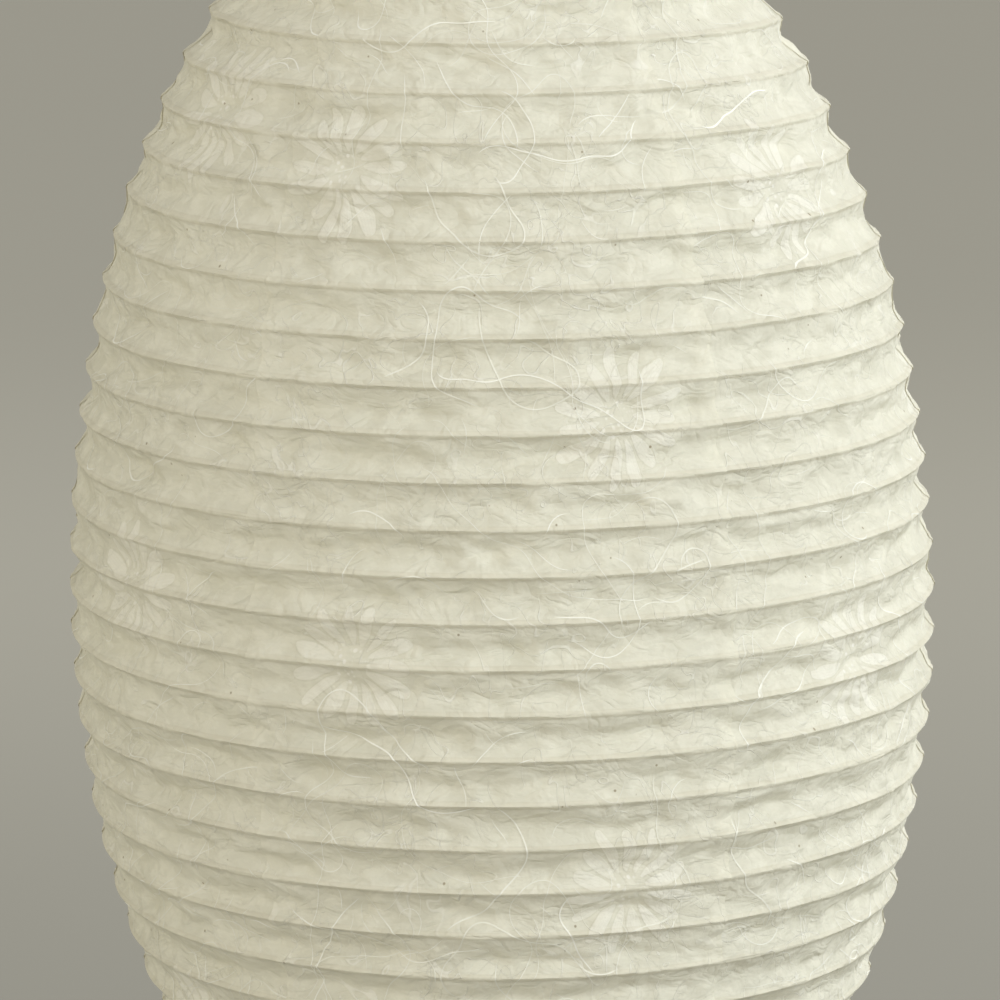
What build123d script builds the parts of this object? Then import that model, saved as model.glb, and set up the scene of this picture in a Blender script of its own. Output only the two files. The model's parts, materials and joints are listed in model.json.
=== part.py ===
"""Hanging accordion paper lantern: a pleated egg-shaped paper body on one continuous bamboo spiral,
between two bentwood rims, hung from a wooden grip on a wire bail, with a candle cup on the lower rim.

Frame: millimetres, +Z up. The origin is the centre of the hole that the lantern hangs from. X runs
through the two bail pivots and Y through the hanging hole. The body hangs open below the origin.
"""
from build123d import *
import math
import os

os.makedirs("parts", exist_ok=True)

# --- driving dimensions -------------------------------------------------------------------------
BODY_RADIUS = 125.0  # crest of the pleats at the widest place
PITCH = 12.7  # rise of one turn of the spiral rib
TURNS = 31
LOWER_HEIGHT = 186.6  # lower mouth to the widest place

RIB_RADIUS = 0.7  # a split-bamboo rod, rounded
RIB_SPLICE_GAP = 0.4  # between one turn's cut end and the next
FOLDED_PITCH = 1.8  # spacing of the turns when the lantern is folded flat

PAPER_THICK = 0.25
PAPER_TO_RIB = 0.4
PLEAT_DEPTH = 2.2  # how far the paper falls in between two turns
GORES = 6
GORE_GAP = 0.2
SEAM_PHASE = -1.8  # degrees that the seams are turned about +Z

RIM_RADIUS = 50.0
RIM_WALL = 3.0
RIM_HEIGHT = 20.0
RIM_FILLET = 0.8
RIM_TO_SPIRAL = 2.0  # rim edge to the end of the spiral
CREST_OVER_RIM = 1.0  # how far the first and last crests stand out from the rims
GLUE_MARGIN = 8.0  # paper glued on the outside of each rim
MARGIN_GAP = 0.15
TRIM_THICK = 0.7
TRIM_GAP = 0.2
TRIM_TALL = 8.6

BAIL_HEIGHT = 115.0  # hanging hole to the pivot axis
PIVOT_ABOVE_RIM_FOOT = 14.0
WIRE_RADIUS = 1.2
WIRE_BEND = 14.0
PIN_FIT = 0.06  # radial running clearance of a pin in its bore
SNUG = 0.05  # radial clearance of a fixed shank in its hole
FACE_GAP = 0.1  # between flat faces that slide or stack

EYE_HOLE_RADIUS = 4.5
EYE_RADIUS = 9.5
EYE_THICK = 3.0
EYE_NECK_WIDE = 7.0
EYE_NECK_DROP = 13.0  # hanging hole to the top of the collar
COLLAR_RADIUS = 4.5
COLLAR_TALL = 2.0
SHANK_RADIUS = 2.0
SHANK_HEAD_RADIUS = 3.6
SHANK_HEAD_TALL = 1.6
WASHER_RADIUS = 5.5
WASHER_TALL = 1.0

GRIP_LONG = 86.0
GRIP_WIDE = 17.0
GRIP_TALL = 12.0
GRIP_FILLET = 3.5
WIRE_AT_GRIP = 34.0  # wire holes, from the middle of the grip
WIRE_HEAD_RADIUS = 2.3
WIRE_HEAD_TALL = 1.2
FERRULE_RADIUS = 2.7
FERRULE_TALL = 5.0

PLATE_WIDE = 13.0
PLATE_TALL = 10.0
PLATE_THICK = 0.8
PIVOT_PIN_RADIUS = 1.5
PIVOT_HEAD_RADIUS = 3.3
PIVOT_HEAD_TALL = 1.4
PIVOT_WASHER_TALL = 0.7
WIRE_EYE_RADIUS = 3.9
WIRE_EYE_OVER_WIRE = 0.4  # how much thicker the eye is than the wire

BAR_WIDE = 15.0
BAR_THICK = 6.0
BAR_ABOVE_RIM_FOOT = 5.5
BAR_END_GAP = 0.1
BAR_SCREW_RADIUS = 1.2
BAR_SCREW_LONG = 12.0
BAR_SCREW_HEAD_RADIUS = 2.8
BAR_SCREW_HEAD_TALL = 1.1

DISH_RADIUS = 25.0
DISH_THICK = 0.7
DISH_LIP = 4.5
CUP_BORE_RADIUS = 11.2
CUP_WALL = 1.0
CUP_DEPTH = 16.0
CUP_FLOOR = 3.0
CUP_SCREW_RADIUS = 1.5
CUP_SCREW_HEAD_RADIUS = 3.0
CUP_SCREW_HEAD_TALL = 1.8
NUT_FLATS = 5.5
NUT_TALL = 2.4

# --- places that follow from them ----------------------------------------------------------------
MOUTH_RADIUS = RIM_RADIUS + CREST_OVER_RIM
WIRE_EYE_THICK = 2 * WIRE_RADIUS + WIRE_EYE_OVER_WIRE
PIVOT_Z = -BAIL_HEIGHT
UPPER_RIM_FOOT = PIVOT_Z - PIVOT_ABOVE_RIM_FOOT
UPPER_RIM_HEAD = UPPER_RIM_FOOT + RIM_HEIGHT
SPIRAL_TOP = UPPER_RIM_FOOT - RIM_TO_SPIRAL
BODY_HEIGHT = TURNS * PITCH
SPIRAL_FOOT = SPIRAL_TOP - BODY_HEIGHT
WIDEST_Z = SPIRAL_FOOT + LOWER_HEIGHT
LOWER_RIM_HEAD = SPIRAL_FOOT - RIM_TO_SPIRAL
LOWER_RIM_FOOT = LOWER_RIM_HEAD - RIM_HEIGHT
FOLD_TRAVEL = (TURNS - 1) * (PITCH - FOLDED_PITCH)

RIM_BORE = RIM_RADIUS - RIM_WALL
MARGIN_INNER = RIM_RADIUS + MARGIN_GAP
MARGIN_OUTER = MARGIN_INNER + PAPER_THICK
TRIM_INNER = MARGIN_OUTER + TRIM_GAP
TRIM_OUTER = TRIM_INNER + TRIM_THICK
PLATE_INNER = RIM_RADIUS + SNUG
PLATE_OUTER = PLATE_INNER + PLATE_THICK

GRIP_HEAD = -EYE_NECK_DROP - COLLAR_TALL - WASHER_TALL - 2 * FACE_GAP
GRIP_FOOT = GRIP_HEAD - GRIP_TALL
LOWER_WASHER_FOOT = GRIP_FOOT - FACE_GAP - WASHER_TALL
SHANK_HEAD_TOP = LOWER_WASHER_FOOT - FACE_GAP

WIRE_EYE_X = PLATE_OUTER + 2 * FACE_GAP + PIVOT_WASHER_TALL + WIRE_EYE_THICK / 2
BAR_FOOT = LOWER_RIM_FOOT + BAR_ABOVE_RIM_FOOT
BAR_HEAD = BAR_FOOT + BAR_THICK
DISH_FOOT = BAR_HEAD
CUP_FOOT = DISH_FOOT + DISH_THICK
CUP_FLOOR_TOP = CUP_FOOT + CUP_FLOOR


def save(shape, name):
    """Writes one node."""
    shape.label = name
    export_step(shape, f"parts/{name}.step")


def group(solids):
    """Separate solids that share one node."""
    return Compound(children=list(solids))


def disc(radius, z_low, z_high, x=0.0):
    """An upright cylinder between two heights."""
    return Pos(x, 0, (z_low + z_high) / 2) * Cylinder(radius, z_high - z_low)


def cross_disc(radius, x_low, x_high, z):
    """A cylinder along X, between two places."""
    return Pos((x_low + x_high) / 2, 0, z) * Rot(0, 90, 0) * Cylinder(radius, x_high - x_low)


def tube(outer, inner, z_low, z_high, x=0.0):
    return disc(outer, z_low, z_high, x) - disc(inner, z_low - 1, z_high + 1, x)


def both_sides(make):
    """The same piece at +X and at -X."""
    right = make()
    return [right, right.mirror(Plane.YZ)]


# --- the egg-shaped body -------------------------------------------------------------------------
def crest_radius(z):
    """Radius of the pleat crests at height z: two half ellipses that meet at the widest place."""
    shrink = math.sqrt(1 - (MOUTH_RADIUS / BODY_RADIUS) ** 2)
    reach = LOWER_HEIGHT if z < WIDEST_Z else BODY_HEIGHT - LOWER_HEIGHT
    share = min(abs(z - WIDEST_Z) * shrink / reach, shrink)
    return BODY_RADIUS * math.sqrt(1 - share**2)


def straight_crest_radius(z):
    """The crest radius as the spiral has it, which widens evenly over each half turn."""
    step = PITCH / 2
    low_z = SPIRAL_FOOT + math.floor((z - SPIRAL_FOOT) / step) * step
    low, high = crest_radius(low_z), crest_radius(low_z + step)
    return low + (high - low) * (z - low_z) / step


def rib_radius(z):
    """Radius of the rod's centre line at height z, inside the paper."""
    low, high = max(z - PITCH / 4, SPIRAL_FOOT), min(z + PITCH / 4, SPIRAL_TOP)
    slope = (crest_radius(high) - crest_radius(low)) / (high - low)
    return crest_radius(z) - PAPER_THICK - (PAPER_TO_RIB + RIB_RADIUS) * math.hypot(1, slope)


def half_turn(low_z, side):
    """Half a turn of the spiral: a flat arc, tilted by its rise. It starts at +X and passes the
    front for side 1, and starts at -X and passes the back for side -1."""
    high_z = low_z + PITCH / 2
    start = Vector(side * rib_radius(low_z), 0, low_z)
    end = Vector(-side * rib_radius(high_z), 0, high_z)
    middle = (start + end) * 0.5
    across = (start - middle).cross(Vector(0, -side, 0))
    tilted = Plane(origin=middle, x_dir=start - middle, z_dir=across)
    radius = (start - middle).length
    cut = math.degrees(RIB_SPLICE_GAP / 2 / radius)
    skipped = cut if side == 1 else 0
    return tilted * CenterArc((0, 0), radius, skipped, 180 - cut)


def rib_turn(turn):
    """One turn of the spiral rib, left-handed, from angle 0 by the front back to angle 0."""
    foot = SPIRAL_FOOT + (turn - 1) * PITCH
    path = Wire([half_turn(foot, 1), half_turn(foot + PITCH / 2, -1)])
    return sweep(Plane(origin=path @ 0, z_dir=path % 0) * Circle(RIB_RADIUS), path=path)


def pleat_outline(angle):
    """(radius, z) of the paper's outer face, from the lower rim up, where it crosses the middle of a
    gore at this angle. Each crest is tall enough to clear the rib across the whole gore."""
    half_crest = RIB_RADIUS + PAPER_TO_RIB + PITCH / 4 * math.sin(math.pi / GORES)
    rise = (-angle / 360) % 1 * PITCH
    points = [(MARGIN_OUTER, LOWER_RIM_HEAD - GLUE_MARGIN), (MARGIN_OUTER, LOWER_RIM_HEAD)]
    crest = SPIRAL_FOOT + rise
    if crest - half_crest - PITCH / 2 > SPIRAL_FOOT:
        points.append((straight_crest_radius(SPIRAL_FOOT), SPIRAL_FOOT))
    while crest < SPIRAL_TOP:
        for z in (crest - half_crest, crest + half_crest):
            if SPIRAL_FOOT <= z <= SPIRAL_TOP:
                points.append((straight_crest_radius(z), z))
        valley = crest + PITCH / 2
        if valley < SPIRAL_TOP - half_crest:
            points.append((straight_crest_radius(valley) - PLEAT_DEPTH, valley))
        crest += PITCH
    points += [(MARGIN_OUTER, UPPER_RIM_FOOT), (MARGIN_OUTER, UPPER_RIM_FOOT + GLUE_MARGIN)]
    return points


def paper_gore(number):
    """One of the paper panels, from rim to rim."""
    width = 360 / GORES
    middle = -90 + SEAM_PHASE + (number - 1) * width
    outer = pleat_outline(middle)
    inner = [(radius - PAPER_THICK, z) for radius, z in reversed(outer)]
    outline = Polyline(*[(radius, 0, z) for radius, z in outer + inner], close=True)
    gap_angle = math.degrees(GORE_GAP / BODY_RADIUS)
    whole = revolve(make_face(outline), Axis.Z, revolution_arc=width - gap_angle)
    return Rot(0, 0, middle - (width - gap_angle) / 2) * whole


# --- rims ----------------------------------------------------------------------------------------
def rim(z_low, drilled):
    """A bentwood hoop."""
    hoop = tube(RIM_RADIUS, RIM_BORE, z_low, z_low + RIM_HEIGHT)
    hoop = fillet(hoop.edges().filter_by(GeomType.CIRCLE), RIM_FILLET)
    for radius, z in drilled:
        hoop -= cross_disc(radius, -RIM_RADIUS - 2, RIM_RADIUS + 2, z)
    return hoop


def trim(z_low):
    """The thin strip glued round the paper's margin."""
    return tube(TRIM_OUTER, TRIM_INNER, z_low, z_low + TRIM_TALL)


def pivot_plate():
    """A brass plate, curved to the rim, under one end of the bail."""
    z_low = PIVOT_Z - PLATE_TALL / 2
    plate = tube(PLATE_OUTER, PLATE_INNER, z_low, z_low + PLATE_TALL)
    plate &= Pos(RIM_RADIUS, 0, PIVOT_Z) * Box(20, PLATE_WIDE, PLATE_TALL + 2)
    return plate - cross_disc(PIVOT_PIN_RADIUS + SNUG, RIM_BORE, PLATE_OUTER + 2, PIVOT_Z)


def pivot_rivet():
    """The pin that one end of the bail turns on, headed outside and clenched inside the rim."""
    clench_x = math.sqrt(RIM_BORE**2 - PIVOT_HEAD_RADIUS**2) - SNUG
    head_x = WIRE_EYE_X + WIRE_EYE_THICK / 2 + FACE_GAP
    pin = cross_disc(PIVOT_PIN_RADIUS, clench_x - PIVOT_HEAD_TALL / 2, head_x + 0.2, PIVOT_Z)
    pin += cross_disc(PIVOT_HEAD_RADIUS, clench_x - PIVOT_HEAD_TALL / 2, clench_x, PIVOT_Z)
    head = cross_disc(PIVOT_HEAD_RADIUS, head_x, head_x + PIVOT_HEAD_TALL, PIVOT_Z)
    outer_edge = head.edges().filter_by(GeomType.CIRCLE).sort_by(Axis.X)[-1]
    return pin + fillet(outer_edge, PIVOT_HEAD_TALL * 0.7)


def pivot_washer():
    x_low = PLATE_OUTER + FACE_GAP
    ring = cross_disc(PIVOT_HEAD_RADIUS, x_low, x_low + PIVOT_WASHER_TALL, PIVOT_Z)
    return ring - cross_disc(PIVOT_PIN_RADIUS + SNUG, x_low - 1, x_low + 3, PIVOT_Z)


# --- bail, grip and hanging eye -------------------------------------------------------------------
def bail_wire():
    """One arm of the bail: a flattened eye round the pivot pin, then wire up through the grip."""
    eye = cross_disc(
        WIRE_EYE_RADIUS, WIRE_EYE_X - WIRE_EYE_THICK / 2, WIRE_EYE_X + WIRE_EYE_THICK / 2, PIVOT_Z
    )
    low = (WIRE_EYE_X, 0, PIVOT_Z + (WIRE_EYE_RADIUS + PIVOT_PIN_RADIUS) / 2)
    knee = (WIRE_EYE_X, 0, PIVOT_Z + WIRE_BEND)
    shoulder = (WIRE_AT_GRIP, 0, GRIP_FOOT - FERRULE_TALL - WIRE_BEND / 2)
    top = (WIRE_AT_GRIP, 0, GRIP_HEAD + WIRE_HEAD_TALL)
    path = FilletPolyline(low, knee, shoulder, top, radius=WIRE_BEND)
    wire = sweep(Plane(origin=path @ 0, z_dir=path % 0) * Circle(WIRE_RADIUS), path=path)
    head = disc(WIRE_HEAD_RADIUS, GRIP_HEAD + FACE_GAP, GRIP_HEAD + WIRE_HEAD_TALL, WIRE_AT_GRIP)
    arm = eye + wire + head
    bore = cross_disc(PIVOT_PIN_RADIUS + PIN_FIT, WIRE_EYE_X - 5, WIRE_EYE_X + 5, PIVOT_Z)
    return arm - bore


def grip_bar():
    """The wooden hand grip, bored for the two wires and for the eye's shank."""
    bar = Pos(0, 0, (GRIP_HEAD + GRIP_FOOT) / 2) * Box(GRIP_LONG, GRIP_WIDE, GRIP_TALL)
    bar = fillet(bar.edges().filter_by(Axis.Z), GRIP_WIDE * 0.45)
    bar = fillet(bar.edges().filter_by(Plane.XY), GRIP_FILLET)
    for x in (-WIRE_AT_GRIP, WIRE_AT_GRIP):
        bar -= disc(WIRE_RADIUS + SNUG, GRIP_FOOT - 1, GRIP_HEAD + 1, x)
    return bar - disc(SHANK_RADIUS + PIN_FIT, GRIP_FOOT - 1, GRIP_HEAD + 1)


def grip_ferrule():
    """A sleeve round the wire that carries one end of the grip."""
    return tube(FERRULE_RADIUS, WIRE_RADIUS + SNUG, GRIP_FOOT - FERRULE_TALL, GRIP_FOOT, WIRE_AT_GRIP)


def hang_eye():
    """A flat eye with a collar and a shank that turns in the grip and is headed below it."""
    plate = Rot(90, 0, 0) * Cylinder(EYE_RADIUS, EYE_THICK)
    plate += Pos(0, 0, -EYE_NECK_DROP / 2) * Box(EYE_NECK_WIDE, EYE_THICK, EYE_NECK_DROP)
    plate -= Rot(90, 0, 0) * Cylinder(EYE_HOLE_RADIUS, EYE_THICK + 2)
    collar = disc(COLLAR_RADIUS, -EYE_NECK_DROP - COLLAR_TALL, -EYE_NECK_DROP)
    shank = disc(SHANK_RADIUS, SHANK_HEAD_TOP - 0.2, -EYE_NECK_DROP - COLLAR_TALL / 2)
    head = disc(SHANK_HEAD_RADIUS, SHANK_HEAD_TOP - SHANK_HEAD_TALL, SHANK_HEAD_TOP)
    return plate + collar + shank + head


def swivel_washer(z_low):
    return tube(WASHER_RADIUS, SHANK_RADIUS + SNUG, z_low, z_low + WASHER_TALL)


# --- candle holder --------------------------------------------------------------------------------
def candle_bar():
    """A wooden bar across the lower rim, its ends cut to the rim's bore."""
    bar = Pos(0, 0, (BAR_FOOT + BAR_HEAD) / 2) * Box(2 * RIM_RADIUS, BAR_WIDE, BAR_THICK)
    bar &= disc(RIM_BORE - BAR_END_GAP, BAR_FOOT - 1, BAR_HEAD + 1)
    bar -= disc(CUP_SCREW_RADIUS + SNUG, BAR_FOOT - 1, BAR_HEAD + 1)
    pilot_start = RIM_RADIUS - BAR_SCREW_LONG - 1
    for low, high in ((-RIM_RADIUS, -pilot_start), (pilot_start, RIM_RADIUS)):
        bar -= cross_disc(BAR_SCREW_RADIUS + SNUG, low, high, (BAR_FOOT + BAR_HEAD) / 2)
    return bar


def bar_screw():
    z = (BAR_FOOT + BAR_HEAD) / 2
    shank = cross_disc(BAR_SCREW_RADIUS, RIM_RADIUS - BAR_SCREW_LONG, RIM_RADIUS + SNUG + 0.2, z)
    head_x = RIM_RADIUS + SNUG
    head = cross_disc(BAR_SCREW_HEAD_RADIUS, head_x, head_x + BAR_SCREW_HEAD_TALL, z)
    outer_edge = head.edges().filter_by(GeomType.CIRCLE).sort_by(Axis.X)[-1]
    return shank + fillet(outer_edge, BAR_SCREW_HEAD_TALL * 0.6)


def turned(points):
    """A solid of revolution about Z from (radius, z) corners."""
    return revolve(make_face(Polyline(*[(r, 0, z) for r, z in points], close=True)), Axis.Z)


def candle_dish():
    """A pressed dish that catches the wax, with a sloping lip."""
    hole = CUP_SCREW_RADIUS + SNUG
    lip_r = DISH_RADIUS - DISH_LIP * 0.4
    foot, head = DISH_FOOT, DISH_FOOT + DISH_THICK
    return turned(
        [
            (hole, foot),
            (lip_r, foot),
            (DISH_RADIUS, foot + DISH_LIP),
            (DISH_RADIUS - DISH_THICK, foot + DISH_LIP),
            (lip_r - DISH_THICK / 2, head),
            (hole, head),
        ]
    )


def candle_cup():
    """The turned socket that holds the candle, counterbored for its screw."""
    outer = CUP_BORE_RADIUS + CUP_WALL
    cup = disc(outer, CUP_FOOT, CUP_FLOOR_TOP + CUP_DEPTH)
    cup -= disc(CUP_BORE_RADIUS, CUP_FLOOR_TOP, CUP_FLOOR_TOP + CUP_DEPTH + 1)
    cup -= disc(CUP_SCREW_RADIUS + SNUG, CUP_FOOT - 1, CUP_FLOOR_TOP + 1)
    counterbore_foot = CUP_FLOOR_TOP - CUP_SCREW_HEAD_TALL - FACE_GAP
    return cup - disc(CUP_SCREW_HEAD_RADIUS + SNUG, counterbore_foot, CUP_FLOOR_TOP + 1)


def cup_screw():
    head_foot = CUP_FLOOR_TOP - CUP_SCREW_HEAD_TALL - FACE_GAP
    head = disc(CUP_SCREW_HEAD_RADIUS, head_foot, head_foot + CUP_SCREW_HEAD_TALL)
    slot = Pos(0, 0, head_foot + CUP_SCREW_HEAD_TALL) * Box(8, 0.8, 1.2)
    shank_foot = BAR_FOOT - FACE_GAP - WASHER_TALL / 2 - NUT_TALL - 0.3
    return head - slot + disc(CUP_SCREW_RADIUS, shank_foot, head_foot + 0.2)


def cup_washer():
    z_low = BAR_FOOT - WASHER_TALL / 2
    return tube(WASHER_RADIUS, CUP_SCREW_RADIUS + SNUG, z_low, BAR_FOOT)


def cup_nut():
    z_high = BAR_FOOT - WASHER_TALL / 2 - FACE_GAP
    nut = extrude(RegularPolygon(NUT_FLATS / 2, 6, major_radius=False), NUT_TALL)
    nut = Pos(0, 0, z_high - NUT_TALL) * nut
    return nut - disc(CUP_SCREW_RADIUS + SNUG, z_high - NUT_TALL - 1, z_high + 1)


def main():
    save(hang_eye(), "hang_eye")
    save(
        group(
            [
                swivel_washer(GRIP_HEAD + FACE_GAP / 2),
                swivel_washer(LOWER_WASHER_FOOT + FACE_GAP / 2),
            ]
        ),
        "swivel_washers",
    )
    save(grip_bar(), "grip_bar")
    save(group(both_sides(grip_ferrule)), "grip_ferrules")
    for name, arm in zip(("bail_wire_right", "bail_wire_left"), both_sides(bail_wire)):
        save(arm, name)

    save(rim(UPPER_RIM_FOOT, [(PIVOT_PIN_RADIUS + SNUG, PIVOT_Z)]), "upper_rim")
    save(trim(UPPER_RIM_FOOT), "upper_trim")
    for name, plate in zip(("pivot_plate_right", "pivot_plate_left"), both_sides(pivot_plate)):
        save(plate, name)
    for name, rivet in zip(("pivot_rivet_right", "pivot_rivet_left"), both_sides(pivot_rivet)):
        save(rivet, name)
    save(group(both_sides(pivot_washer)), "pivot_washers")

    for turn in range(1, TURNS + 1):
        save(rib_turn(turn), f"rib_turn_{turn:02d}")
    for number in range(1, GORES + 1):
        save(paper_gore(number), f"paper_gore_{number}")

    bar_screw_z = (BAR_FOOT + BAR_HEAD) / 2
    save(rim(LOWER_RIM_FOOT, [(BAR_SCREW_RADIUS + SNUG, bar_screw_z)]), "lower_rim")
    save(trim(LOWER_RIM_HEAD - TRIM_TALL), "lower_trim")
    save(candle_bar(), "candle_bar")
    save(group(both_sides(bar_screw)), "bar_screws")
    save(candle_dish(), "candle_dish")
    save(candle_cup(), "candle_cup")
    save(cup_screw(), "cup_screw")
    save(cup_washer(), "cup_washer")
    save(cup_nut(), "cup_nut")


if __name__ == "__main__":
    main()
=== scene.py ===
"""Looks for a hanging accordion paper lantern, built round its frame."""

import json
import math

import bpy
import numpy as np
from bpy.props import FloatProperty, FloatVectorProperty, IntProperty, PointerProperty
from mathutils import Matrix, Vector


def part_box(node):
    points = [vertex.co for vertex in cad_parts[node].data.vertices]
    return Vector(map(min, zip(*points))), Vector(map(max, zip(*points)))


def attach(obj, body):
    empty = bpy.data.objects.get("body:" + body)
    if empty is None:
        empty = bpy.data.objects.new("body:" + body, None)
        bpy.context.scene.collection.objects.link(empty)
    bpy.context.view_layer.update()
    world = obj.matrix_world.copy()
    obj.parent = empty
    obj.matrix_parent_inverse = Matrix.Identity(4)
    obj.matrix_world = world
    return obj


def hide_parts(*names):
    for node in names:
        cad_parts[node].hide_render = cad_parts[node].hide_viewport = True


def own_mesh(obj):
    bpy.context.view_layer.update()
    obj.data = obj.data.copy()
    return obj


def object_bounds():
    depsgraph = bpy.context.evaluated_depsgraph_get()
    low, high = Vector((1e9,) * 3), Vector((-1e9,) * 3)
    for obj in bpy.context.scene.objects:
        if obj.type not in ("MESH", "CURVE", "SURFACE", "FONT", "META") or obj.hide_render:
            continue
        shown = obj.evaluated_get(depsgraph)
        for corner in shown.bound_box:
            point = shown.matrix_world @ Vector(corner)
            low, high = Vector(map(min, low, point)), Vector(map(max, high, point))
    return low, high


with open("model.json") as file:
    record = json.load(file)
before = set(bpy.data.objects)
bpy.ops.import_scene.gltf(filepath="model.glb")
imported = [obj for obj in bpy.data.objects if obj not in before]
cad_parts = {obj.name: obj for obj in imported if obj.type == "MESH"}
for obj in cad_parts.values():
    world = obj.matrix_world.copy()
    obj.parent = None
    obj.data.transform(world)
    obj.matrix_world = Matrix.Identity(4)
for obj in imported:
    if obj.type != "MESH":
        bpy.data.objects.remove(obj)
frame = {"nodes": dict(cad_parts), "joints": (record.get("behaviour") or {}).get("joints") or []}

bl_info = {
    "name": "Accordion Paper Lantern",
    "version": (1, 0, 0),
    "blender": (4, 5, 0),
    "location": "View3D > Sidebar > Lantern",
    "description": "Builds the paper, rib, rims, bail and candle holder of a folding paper lantern",
    "category": "Add Mesh",
}

CAD_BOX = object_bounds()
RIM_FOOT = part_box("upper_rim")[0][2]
RIM_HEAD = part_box("lower_rim")[1][2]
RIM_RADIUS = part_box("upper_rim")[1][0]
TURNS = sum(node.startswith("rib_turn_") for node in frame["nodes"])
ROD_RADIUS = 0.0007
SPIRAL_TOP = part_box(f"rib_turn_{TURNS:02d}")[1][2] - ROD_RADIUS
SPIRAL_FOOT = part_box("rib_turn_01")[0][2] + ROD_RADIUS
PITCH = (SPIRAL_TOP - SPIRAL_FOOT) / TURNS
GORES = sum(node.startswith("paper_gore_") for node in frame["nodes"])
FOLD = next(joint for joint in frame["joints"] if joint["name"] == "fold")
FOLDED_SHARE = 1 - FOLD["range_m"][1] / (RIM_FOOT - RIM_HEAD)

WANDER_RADIUS = 0.105  # at which lengths along a pleat are measured for its uneven folds
RIDGE_REACH = 0.0009  # from a crest to where the rod's ridge has mostly faded
VALLEY_ROUND = 0.2  # rounding of a valley, as a share of a flank
MOUTH_EASE = 0.006  # over which the pleats fade out at each mouth
MOUTH_LIFT = 0.0003  # paper's surface off the rim it is pasted on
GORE_LIFT = 0.0003  # surface of a lap off the gore under it
FIBRE_LIFT = 0.00016  # fibres off the paper
FIBRE_PACE = 0.0008  # length of one step along a fibre
ROD_DEPTH = 0.0009  # from a crest in to the rod and its clearance
ROD_CLEARANCE = 0.0002  # round the rod; it counts for more where the paper is steep
RIM_LAP_THICK = 0.0007  # scarfed end of a rim's bent strip
RIM_SINK = 0.0002  # edges of that end inside the rim

# Angle past the lap angle, and height over the lap's middle.
TACK_PLACES = ((-0.05, 0.0026), (0.05, -0.0026), (-0.22, 0.0))

PETALS = 15
DAISY_EYE = 0.005  # radius at which the petals start

PULP_COLOUR = (0.90, 0.895, 0.81)
PETAL_COLOUR = (0.95, 0.945, 0.885)
OUTLINE_COLOUR = (0.60, 0.585, 0.48)
DOT_COLOUR = (0.99, 0.985, 0.95)
ROD_SHADE = (0.66, 0.60, 0.45)
# Colour of the glue line and painted shade along the flanks of the rod's ridge.
GLUE_LINE_AND_SHADE_COLOUR = (0.50, 0.46, 0.34)
LAP_COLOUR = (0.90, 0.885, 0.79)
SPECK_COLOUR = (0.25, 0.19, 0.11)
GLOW_COLOUR = (0.90, 0.84, 0.66)
BAMBOO_JOINT_COLOUR = (0.20, 0.12, 0.05)
THREADS = ((46.0, 0.010), (62.0, 0.008), (85.0, 0.007))  # scale and width of each set of faint fibres

# Name, place from the aimed point, size in metres, watts, colour.
LIGHTS = (
    ("key", (2.2, -1.0, 0.9), 1.4, 33, (0.95, 1.0, 0.985)),
    ("front", (0.5, -2.2, 0.7), 1.8, 12, (1.0, 0.98, 0.93)),
    ("fill", (-2.0, -1.2, 0.2), 1.8, 15, (1.0, 0.94, 0.76)),
    ("back", (1.9, 1.2, 1.0), 1.5, 16, (1.0, 1.0, 1.0)),
)
SKY_TOWARD = (0.45, -0.35, 1.0)
SKY_STRENGTH = 0.45
SKY_SPREAD = 1.4
WORLD_COLOUR = (0.90, 0.87, 0.76, 1)
WORLD_STRENGTH = 0.56
FLOOR_HALF = 60.0
SENSOR_WIDTH = 36.0


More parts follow.
